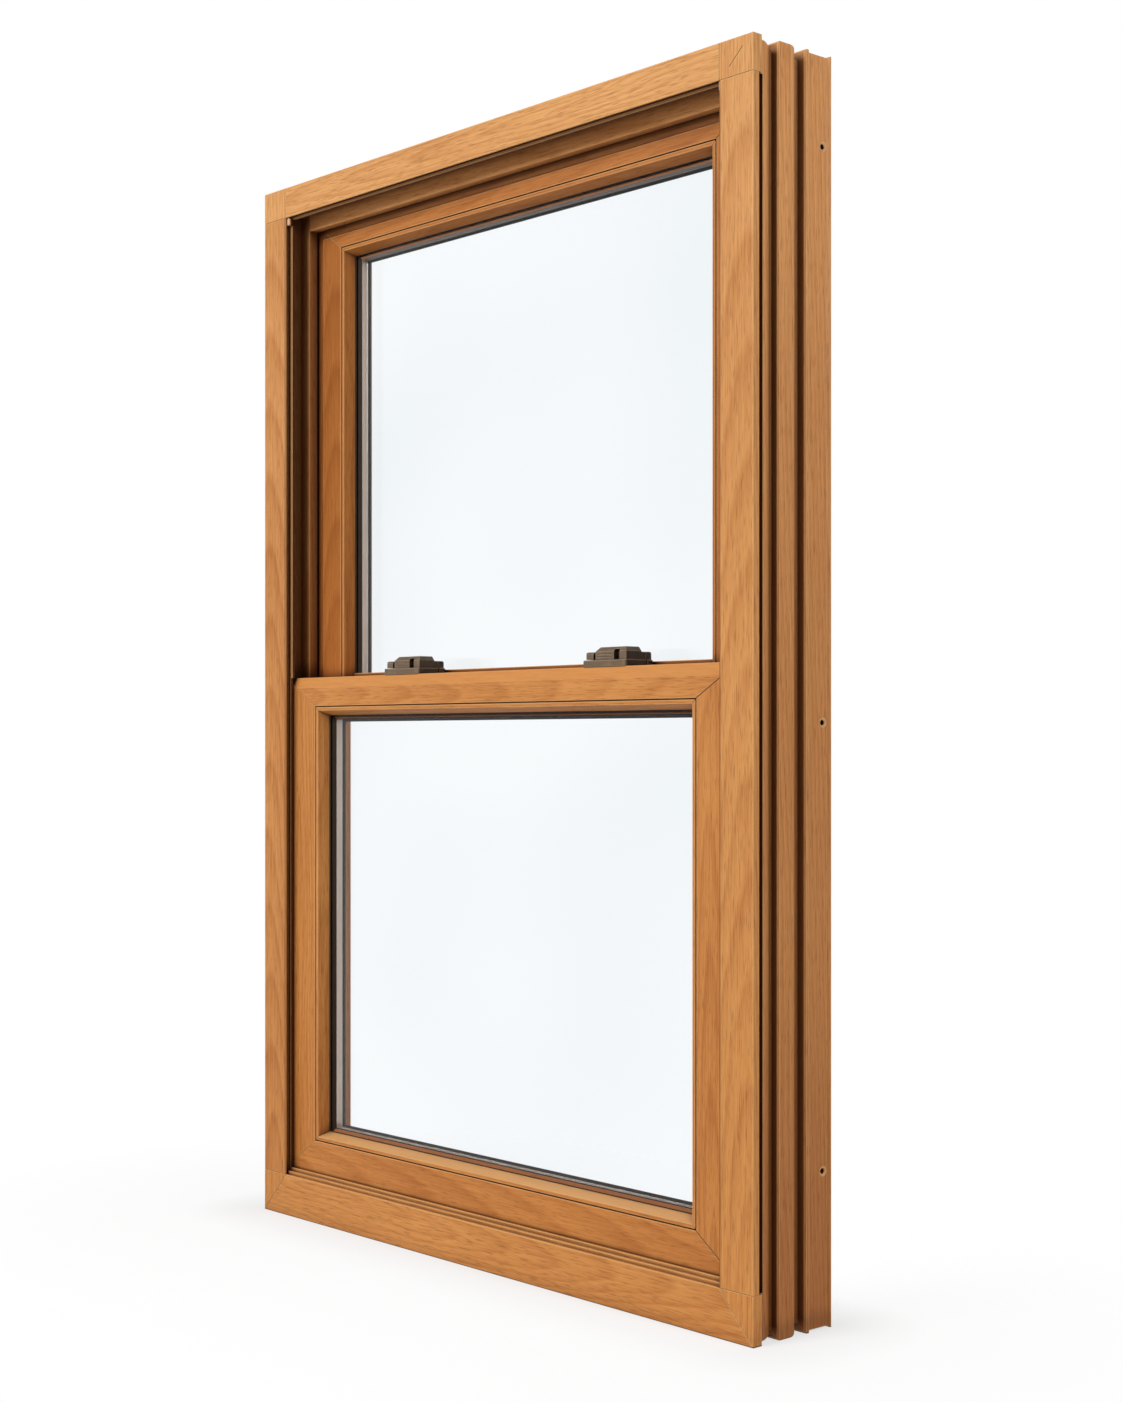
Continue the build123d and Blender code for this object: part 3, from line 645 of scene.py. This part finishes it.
@dataclass(frozen=True)
class CastBronze:
    """Dark bronze finish on a cast lock, lighter in worn patches, with painted shade on its ends and in its
    corners and a painted highlight on its arrises.
    """

    name: str
    base: Colour = linear(104, 86, 67)
    worn: Colour = linear(122, 101, 80)
    # Painted highlight colour on the arrises
    edge: Colour = linear(176, 154, 128)
    # Painted shade colour on the ends, the faces that look sideways
    side_shade: Colour = linear(40, 29, 21)
    # Painted shade colour in the corners
    corner: Colour = linear(18, 13, 9)
    patch_scale: float = 60.0
    patch_stops: Stops = ((0.0, 0.0), (0.4, 0.0), (0.7, 1.0), (1.0, 1.0))
    side_shade_share: float = 0.68
    edge_highlight_share: float = 0.85
    edge_round: float = 0.0010
    corner_shade_reach: float = 0.006
    corner_shade_stops: Stops = ((0.0, 0.95), (0.45, 0.75), (0.80, 0.0), (1.0, 0.0))
    rough: float = 0.46
    rough_play: float = -0.08
    metal: float = 0.1
    gloss: float = 0.25
    grit_scale: float = 1600.0
    relief: float = 0.12
    relief_height: float = 0.0002

    def material(self) -> bpy.types.Material:
        """Make the bronze: a speckled satin metal paint.

        Returns:
            The material.
        """
        g = Graph(self.name)
        where = g.place()
        patch = g.ramp(g.noise(where, self.patch_scale, 3.0), self.patch_stops)
        rounded = g.rounded(self.edge_round)
        colour = g.blend(patch, self.base, self.worn)
        # Painted shade on the ends, the faces that look sideways
        end = g.math("ABSOLUTE", g.facing()[0])
        colour = g.blend(g.math("MULTIPLY", end, self.side_shade_share), colour, self.side_shade)
        # Painted highlight along the arrises
        colour = g.blend(g.math("MULTIPLY", g.highlight_edge(rounded), self.edge_highlight_share), colour, self.edge)
        # Painted shade wherever other faces stand close by
        colour = g.blend(g.ramp(g.openness(self.corner_shade_reach), self.corner_shade_stops), colour, self.corner)
        grit = g.noise(where, self.grit_scale, 2.0)
        return g.surface(g.principled({
            "Base Color": colour,
            "Roughness": g.math("MULTIPLY_ADD", patch, self.rough_play, self.rough),
            "Metallic": self.metal,
            "Specular IOR Level": self.gloss,
            "Normal": g.bump(grit, self.relief, self.relief_height, rounded),
        }))


@dataclass(frozen=True)
class ClearGlass:
    """Float glass with a faint cool tint and a painted soft reflection in clouds, that lets lamps through.
    """

    name: str
    tint: Colour = (0.965, 0.980, 0.988)
    # Painted reflection: the colour of the soft clouds laid into the glass
    cloud: Colour = (0.932, 0.954, 0.968)
    cloud_scale: float = 2.2
    reflection_stops: Stops = ((0.0, 0.0), (0.40, 0.0), (0.66, 1.0), (1.0, 1.0))
    ior: float = 1.22

    def material(self) -> bpy.types.Material:
        """Make the glass, clear for the rays that come from lamps.

        Returns:
            The material.
        """
        g = Graph(self.name)
        # Painted reflection, as soft clouds in the glass colour
        painted_reflection = g.ramp(g.noise(g.place(), self.cloud_scale, 1.0), self.reflection_stops)
        glass = g.principled({
            "Base Color": g.blend(painted_reflection, self.tint, self.cloud),
            "Roughness": 0.0,
            "IOR": self.ior,
            "Transmission Weight": 1.0,
        })
        lamp_ray = g.add("ShaderNodeLightPath").outputs["Is Shadow Ray"]
        return g.surface(g.choose(lamp_ray, glass, g.add("ShaderNodeBsdfTransparent")))


@dataclass(frozen=True)
class RolledMetal:
    """Rolled strip with fine lines along it, for the glass spacer, with painted shade on its level runs and
    front edge.
    """

    name: str
    base: Colour = linear(232, 214, 200)
    painted_shade: Colour = linear(48, 40, 34)
    lines: float = 900.0
    line_share: float = 0.12
    plain_share: float = 0.14
    painted_shade_share: float = 0.74
    front: float = -0.8
    metal: float = 0.9
    gloss: float = 0.1
    rough: float = 0.38

    def material(self) -> bpy.types.Material:
        """Make the strip: fine lines across its depth, painted shade and no metal on the level runs and
        front edge, bright metal only on the upright runs.

        Returns:
            The material.
        """
        g = Graph(self.name)
        _, y, _ = g.split(g.place())
        band = g.math("SINE", g.math("MULTIPLY", y, self.lines * math.tau))
        _, ahead, up = g.facing()
        # Painted shade on the level runs and on the faces that look to the room
        level = g.math("MAXIMUM", g.math("ABSOLUTE", up), g.math("LESS_THAN", ahead, self.front))
        shade = g.math("MULTIPLY_ADD", band, self.line_share, self.plain_share)
        shade = g.math("MULTIPLY_ADD", level, self.painted_shade_share, shade)
        return g.surface(g.principled({
            "Base Color": g.blend(shade, self.base, self.painted_shade),
            "Metallic": g.math("MULTIPLY_ADD", level, -self.metal, self.metal),
            "Specular IOR Level": self.gloss,
            "Roughness": self.rough,
        }))


@dataclass(frozen=True)
class SoftSeal:
    """Matt rubber or vinyl with a faint mottle, and a painted shade colour on the faces that do not face the
    room if it has one.
    """

    name: str
    base: Colour
    mottle: Colour
    # Painted shade colour for the faces that do not face the room, if any
    side: Optional[Colour] = None
    front: float = -0.5
    mottle_scale: float = 90.0
    rough: float = 0.75
    grit_scale: float = 900.0
    relief: float = 0.1
    relief_height: float = 0.0002

    def material(self) -> bpy.types.Material:
        """Make the seal.

        Returns:
            The material.
        """
        g = Graph(self.name)
        where = g.place()
        colour = g.blend(g.noise(where, self.mottle_scale, 3.0), self.base, self.mottle)
        # Painted shade: faces that do not face the room take the darker side colour
        if self.side is not None:
            colour = g.blend(g.math("LESS_THAN", g.facing()[1], self.front), self.side, colour)
        grit = g.noise(where, self.grit_scale, 2.0)
        return g.surface(g.principled({
            "Base Color": colour,
            "Roughness": self.rough,
            "Normal": g.bump(grit, self.relief, self.relief_height),
        }))


# Frame wood with a wider painted shade in recesses, painted shade toward the floor and painted light toward
# the head
FRAME_WOOD = StainedWood(
    "frame_wood", linear(210, 148, 86), linear(162, 94, 40), shade_and_joint_colour=linear(72, 34, 6),
    low_shade_tint=(0.76, 0.63, 0.50), high_light_tint=(1.14, 1.19, 1.34), shade_reach=0.026, edge_round=0.0014,
    shade_stops=((0.0, 0.97), (0.46, 0.90), (0.60, 0.62), (0.78, 0.30), (0.98, 0.0)))
HEAD_WOOD = replace(FRAME_WOOD, name="head_wood", shade_reach=0.017)
BOARD_WOOD = StainedWood("board_wood", edge_round=0.0015)
SASH_WOODS: Dict[str, StainedWood] = {
    "lower": StainedWood("lower_wood", linear(208, 140, 74), linear(156, 84, 28), edge_round=0.0016),
    "upper": StainedWood("upper_wood", linear(186, 114, 52), linear(134, 68, 20), edge_round=0.0016),
}
CUT_WOOD = StainedWood("cut_wood", linear(216, 164, 116), linear(196, 142, 94), shade_reach=0.0004)
SEAL_RUBBER = SoftSeal("seal_rubber", linear(34, 22, 14), linear(56, 38, 24))
RAIL_SEALANT = SoftSeal("rail_sealant", linear(196, 130, 72), linear(176, 112, 58))
# Vinyl strip with painted shade on its faces that do not face the room
STRIP_VINYL = SoftSeal("strip_vinyl", linear(190, 138, 86), linear(172, 120, 70), linear(84, 48, 20))
BUMPER_VINYL = SoftSeal("bumper_vinyl", linear(222, 182, 142), linear(206, 162, 120))


def dress(node: str, material: bpy.types.Material) -> None:
    """Put a material in every slot of a CAD node.

    Args:
        node: Name of the node.
        material: The material.
    """
    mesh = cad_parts[node].data
    if not mesh.materials:
        mesh.materials.append(material)
    for index in range(len(mesh.materials)):
        mesh.materials[index] = material
    LOG.info("dressed %s", node)


def middle(node: str) -> Colour:
    """Find the centre of a CAD node's box.

    Args:
        node: Name of the node.

    Returns:
        The centre, in metres.
    """
    low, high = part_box(node)
    return tuple((a + b) / 2 for a, b in zip(low, high))


def tube(name: str, x: np.ndarray, y: np.ndarray, z: np.ndarray) -> bpy.types.Object:
    """Carry a closed section around a closed path and let the piece ride on the root.

    Each row of the grids holds the section's points at one station of the path. A face joins a point and
    the next one of its section to the same two at the next station. Both directions close on themselves.

    Args:
        name: Name of the piece.
        x: Sideways coordinates.
        y: Depths.
        z: Heights.

    Returns:
        The new object.
    """
    stations, count = x.shape
    points = np.stack([x, y, z], axis=2).reshape(-1, 3)
    station, point = np.meshgrid(np.arange(stations), np.arange(count), indexing="ij")
    after = (point + 1) % count
    beyond = (station + 1) % stations
    faces = np.stack([station * count + point, beyond * count + point, beyond * count + after,
                      station * count + after], axis=2).reshape(-1, 4)
    mesh = bpy.data.meshes.new(name)
    mesh.from_pydata(points.tolist(), [], faces.tolist())
    obj = bpy.data.objects.new(name, mesh)
    bpy.context.scene.collection.objects.link(obj)
    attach(obj, ROOT)
    return obj


@dataclass
class FrameSet:
    """Jambs, head, sill, face boards, corner keys and parting stops."""

    wood: StainedWood
    head_wood: StainedWood
    board_wood: StainedWood
    upright: Tuple[str, ...] = ("left_jamb", "right_jamb", "left_parting_stop", "right_parting_stop")
    level: Tuple[str, ...] = ("head_jamb", "sill", "head_parting_stop")
    upright_boards: Tuple[str, ...] = ("left_face_board", "right_face_board", "board_corner_keys")
    level_boards: Tuple[str, ...] = ("head_face_board", "sill_face_board")
    # Face boards that take a painted shadow line along their inner arris
    shadow_lined: Tuple[str, ...] = ("left_face_board", "right_face_board")
    line_in: float = 0.0011

    def inner_shadow_line(self, node: str) -> Tuple[DarkLine, ...]:
        """Find the painted shadow line along an upright board's inner arris, just past its chamfer.

        Args:
            node: Name of the board.

        Returns:
            The painted shadow line, as one dark line from the board's foot to its head.
        """
        low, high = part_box(node)
        inner = low[0] + self.line_in if low[0] > 0.0 else high[0] - self.line_in
        return ((inner, low[2], inner, high[2]),)

    def dress(self) -> None:
        """Give each frame piece its own figure of wood."""
        jobs = ((self.wood, Grain.UPRIGHT, self.upright), (self.head_wood, Grain.LEVEL, self.level),
                (self.board_wood, Grain.UPRIGHT, self.upright_boards),
                (self.board_wood, Grain.LEVEL, self.level_boards))
        seed = FRAME_SEED
        for wood, grain, nodes in jobs:
            for node in nodes:
                # Painted shadow line along the board's inner arris
                dark_lines = self.inner_shadow_line(node) if node in self.shadow_lined else ()
                # Painted shade over the whole piece, for some pieces
                piece_shade_share = PIECE_SHADE.get(node, 0.0)
                dress(node, wood.material(grain, seed, middle(node), dark_lines=dark_lines, piece_shade=piece_shade_share))
                seed += 1


@dataclass
class SashSet:
    """One sash: stiles, rails, beads, insulated glass and its seals."""

    name: str
    wood: StainedWood
    glass: bpy.types.Material
    spacer: bpy.types.Material
    rubber: bpy.types.Material
    seed: int
    members: Tuple[Tuple[str, Grain], ...] = (
        ("left_stile", Grain.UPRIGHT), ("right_stile", Grain.UPRIGHT),
        ("top_rail", Grain.LEVEL), ("bottom_rail", Grain.LEVEL))

    def dress(self) -> None:
        """Give the sash its finishes, with a line of stain in the two right-hand mitres."""
        beads = f"{self.name}_glazing_beads"
        low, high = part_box(beads)
        foot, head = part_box(f"{self.name}_right_stile")
        dark_lines = ((head[0], head[2], high[0], high[2]), (head[0], foot[2], high[0], low[2]))
        for seed, (piece, grain) in enumerate(self.members, self.seed):
            node = f"{self.name}_{piece}"
            # Painted shade over the whole piece, for some pieces
            piece_shade_share = PIECE_SHADE.get(node, 0.0)
            dress(node, self.wood.material(grain, seed, middle(node), dark_lines=dark_lines, piece_shade=piece_shade_share))
        half = ((high[0] - low[0]) / 2, (high[2] - low[2]) / 2)
        dress(beads, self.wood.material(Grain.MITRED, self.seed + len(self.members), middle(beads), half))
        for pane in ("inner_pane", "outer_pane"):
            dress(f"{self.name}_{pane}", self.glass)
        dress(f"{self.name}_spacer", self.spacer)
        for seal in ("inner_gasket", "outer_gasket"):
            dress(f"{self.name}_{seal}", self.rubber)


@dataclass
class EdgeSpacer:
    """The glass edge of one sash: a ribbed metal strip over a bed of sealant, dark at the stiles."""

    sash: str
    strip: bpy.types.Material
    sealant: bpy.types.Material
    rail_sealant: bpy.types.Material
    side: float = 0.0155
    rail: float = 0.011
    skin: float = 0.0012
    lip: float = 0.0006
    lip_from: float = 0.36
    lip_slope: float = 0.06
    rib_share: float = 0.2
    ribs: int = 5
    steps: int = 61

    def carry(self, name: str, share: np.ndarray, rise: np.ndarray, depth: np.ndarray,
              materials: Sequence[bpy.types.Material]) -> bpy.types.Object:
        """Carry a closed section around the four sides of the glass.

        A section point moves in from the outer corner by a share of the side or rail width plus its own
        rise. The stations of the path are the four corners.

        Args:
            name: Name of the piece.
            share: Share of the width for each section point.
            rise: Metres beyond that share.
            depth: Depth of each point.
            materials: Material of the runs along the stiles, then of those along the rails.

        Returns:
            The new object.
        """
        low, high = (np.array(c, dtype=float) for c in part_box(f"{self.sash}_spacer"))
        corners = np.array([[-1, -1], [1, -1], [1, 1], [-1, 1]], dtype=float)
        half = (high - low) / 2
        centre = (high + low) / 2
        x = centre[0] + corners[:, :1] * (half[0] - share * self.side - rise)
        z = centre[2] + corners[:, 1:] * (half[2] - share * self.rail - rise)
        obj = tube(name, x, np.broadcast_to(depth, x.shape), z)
        for material in materials:
            obj.data.materials.append(material)
        on_rail = np.repeat(1 - np.arange(len(corners)) % 2, share.size)
        obj.data.polygons.foreach_set("material_index", on_rail.astype(np.int32))
        return obj

    def build(self) -> None:
        """Make the strip and its bed in place of the plain ring.

        The strip's face is a row of cosine ribs across the depth, with a raised lip at each edge.
        """
        low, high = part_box(f"{self.sash}_spacer")
        t = np.linspace(0.0, 1.0, self.steps)
        depth = low[1] + (high[1] - low[1]) * t
        raised = np.clip((np.abs(t - 0.5) - self.lip_from) / self.lip_slope, 0.0, 1.0)
        wave = self.rib_share * (1.0 - raised) * np.cos(math.tau * self.ribs * t)
        face = self.lip * (raised + wave - 1.0)
        strip = self.carry(f"{self.sash}_spacer_strip", np.ones(2 * self.steps),
                           np.concatenate([face, np.full(self.steps, -self.skin)]),
                           np.concatenate([depth, depth[::-1]]), (self.strip, self.strip))
        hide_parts(f"{self.sash}_spacer")
        bed = self.carry(f"{self.sash}_spacer_bed", np.array([0.0, 1.0, 1.0, 0.0]),
                         np.array([0.0, -self.skin, -self.skin, 0.0]),
                         np.array([low[1], low[1], high[1], high[1]]), (self.sealant, self.rail_sealant))
        LOG.info("built the %s glass edge", self.sash)


@dataclass
class ScrewCup:
    """The pale cut rim around one countersunk screw hole in a jamb."""

    name: str
    at: Colour
    side: int
    wood: bpy.types.Material
    inner: float = 0.0029
    outer: float = 0.0052
    crest: float = 0.0007
    skirt: float = 0.0001
    deep: Tuple[float, ...] = (0.0010, -0.00035, -0.0002, 0.0003, 0.0014)
    turns: int = 40

    def build(self) -> None:
        """Make the rim as a surface of revolution about the hole's axis.

        A closed section of five points runs from the hole's edge up a shallow dish, over a lip that stands
        proud of the jamb and back under it. Each point keeps its radius while the angle goes once around.
        """
        radius = np.array([self.inner, self.outer - self.crest, self.outer, self.outer + self.skirt,
                           self.inner])
        angle = np.linspace(0.0, math.tau, self.turns, endpoint=False)
        y = self.at[1] + radius * np.cos(angle)[:, None]
        z = self.at[2] + radius * np.sin(angle)[:, None]
        x = np.broadcast_to(self.at[0] - self.side * np.array(self.deep), y.shape)
        obj = tube(self.name, x, y, z)
        obj.data.materials.append(self.wood)
        LOG.info("built %s", self.name)


@dataclass
class LockSet:
    """One cam lock with its keeper."""

    name: str
    bronze: bpy.types.Material

    def dress(self) -> None:
        """Give the lock its bronze."""
        for piece in ("base", "housing", "lever", "keeper"):
            dress(f"{self.name}_{piece}", self.bronze)


@dataclass(frozen=True)
class Lamp:
    """One soft lamp: its place, what it points at, its width and height, and its power."""

    name: str
    at: Colour
    toward: Colour
    size: Tuple[float, float]
    watts: float

    def hang(self) -> None:
        """Hang the lamp."""
        data = bpy.data.lights.new(self.name, "AREA")
        data.shape = "RECTANGLE"
        data.size, data.size_y = self.size
        data.energy = self.watts
        obj = bpy.data.objects.new(self.name, data)
        obj.location = self.at
        ray = np.array(self.toward) - np.array(self.at)
        obj.rotation_euler = (
            math.atan2(math.hypot(ray[0], ray[1]), -ray[2]), 0.0, math.atan2(-ray[0], ray[1]))
        bpy.context.scene.collection.objects.link(obj)


@dataclass
class Studio:
    """White floor and surround, soft lamps and the camera."""

    floor_half: float = 12.0
    floor_grey: Colour = (0.86, 0.86, 0.86)
    shadow_reach: float = 0.5
    own_stops: Stops = ((0.0, 0.66), (0.20, 0.91), (1.0, 1.0))
    fill: float = 0.24
    lamps: Tuple[Lamp, ...] = (
        Lamp("key", (-0.20, -3.5, 2.7), (0.0, 0.0, 0.75), (1.6, 1.6), 122.0),
        Lamp("strip", (2.6, 0.03, 1.75), (0.0, 0.03, 0.9), (0.22, 1.0), 25.0))
    camera_at: Colour = (1.897, -1.6375, 0.608)
    heading: float = 48.0
    lens: float = 54.95
    sensor: float = 36.0
    shift_up: float = 0.0292
    far: float = 60.0

    def floor(self) -> None:
        """Lay a white floor that keeps a pale shadow.

        The floor is a grid of two parameters across its width and length at height zero.
        """
        span = np.linspace(-self.floor_half, self.floor_half, 2)
        u, v = np.meshgrid(span, span)
        points = np.stack([u.ravel(), v.ravel(), np.zeros(u.size)], axis=1)
        mesh = bpy.data.meshes.new("floor")
        mesh.from_pydata(points.tolist(), [], [(0, 1, 3, 2)])
        obj = bpy.data.objects.new("floor", mesh)
        bpy.context.scene.collection.objects.link(obj)
        mesh.materials.append(self.floor_white())

    def floor_white(self) -> bpy.types.Material:
        """Make the floor's white: wholly its own far off, with a share of shadow beside the window.

        Returns:
            The material.
        """
        g = Graph("floor_white")
        x, y, _ = g.split(g.place())
        wide, deep = (g.math("MAXIMUM", g.math("SUBTRACT", g.math("ABSOLUTE", part), edge), 0.0)
                      for part, edge in zip((x, y), CAD_BOX[1]))
        off = g.math("SQRT", g.math("ADD", g.math("MULTIPLY", wide, wide), g.math("MULTIPLY", deep, deep)))
        own = g.ramp(g.math("DIVIDE", off, self.shadow_reach), self.own_stops)
        matt = g.add("ShaderNodeBsdfDiffuse")
        g.put(matt.inputs["Color"], self.floor_grey)
        glow = g.add("ShaderNodeEmission")
        g.put(glow.inputs["Color"], WHITE)
        return g.surface(g.choose(g.math("MULTIPLY", g.seen(), own), matt, glow))

    def surround(self) -> None:
        """Set the world: white where it is seen, a soft fill where it only lights."""
        g = Graph("studio", world=True)
        back = g.add("ShaderNodeBackground")
        g.put(back.inputs["Color"], WHITE)
        g.put(back.inputs["Strength"], g.math("MULTIPLY_ADD", g.seen(), 1.0 - self.fill, self.fill))
        bpy.context.scene.world = g.surface(back)

    def camera(self) -> None:
        """Set the camera at the photograph's place, level, with its frame shifted up."""
        data = bpy.data.cameras.new("view")
        data.sensor_fit = "VERTICAL"
        data.sensor_height = self.sensor
        data.lens = self.lens
        data.shift_y = self.shift_up
        data.clip_end = self.far
        obj = bpy.data.objects.new("view", data)
        obj.location = self.camera_at
        obj.rotation_euler = (math.pi / 2, 0.0, math.radians(self.heading))
        bpy.context.scene.collection.objects.link(obj)
        bpy.context.scene.camera = obj

    def build(self) -> None:
        """Set up floor, light and camera."""
        bpy.context.scene.view_settings.view_transform = "Standard"
        self.floor()
        self.surround()
        for lamp in self.lamps:
            lamp.hang()
        self.camera()


def main() -> None:
    """Build and dress the window, then set the stage."""
    logging.basicConfig(level=logging.INFO, format="%(name)s: %(message)s")
    FrameSet(FRAME_WOOD, HEAD_WOOD, BOARD_WOOD).dress()
    rim = CUT_WOOD.material(Grain.UPRIGHT, RIM_SEED)
    for side, hand in ((-1, "left"), (1, "right")):
        for row, height in enumerate(SCREW_HEIGHTS):
            at = (side * (CAD_BOX[1][0] - SCREW_SUNK), CAD_BOX[0][1] + SCREW_BACK, height)
            ScrewCup(f"{hand}_screw_rim_{row}", at, side, rim).build()
    glass = ClearGlass("pane_glass").material()
    spacer = RolledMetal("spacer_strip").material()
    rubber = SEAL_RUBBER.material()
    brown = RAIL_SEALANT.material()
    for name, seed in SASH_SEEDS.items():
        SashSet(name, SASH_WOODS[name], glass, spacer, rubber, seed).dress()
        EdgeSpacer(name, spacer, rubber, brown).build()
    bronze = CastBronze("lock_bronze").material()
    for name in ("left_lock", "right_lock"):
        LockSet(name, bronze).dress()
    dress("face_weatherstrip", STRIP_VINYL.material())
    dress("head_bumpers", BUMPER_VINYL.material())
    Studio().build()


if __name__ == "__main__":
    main()
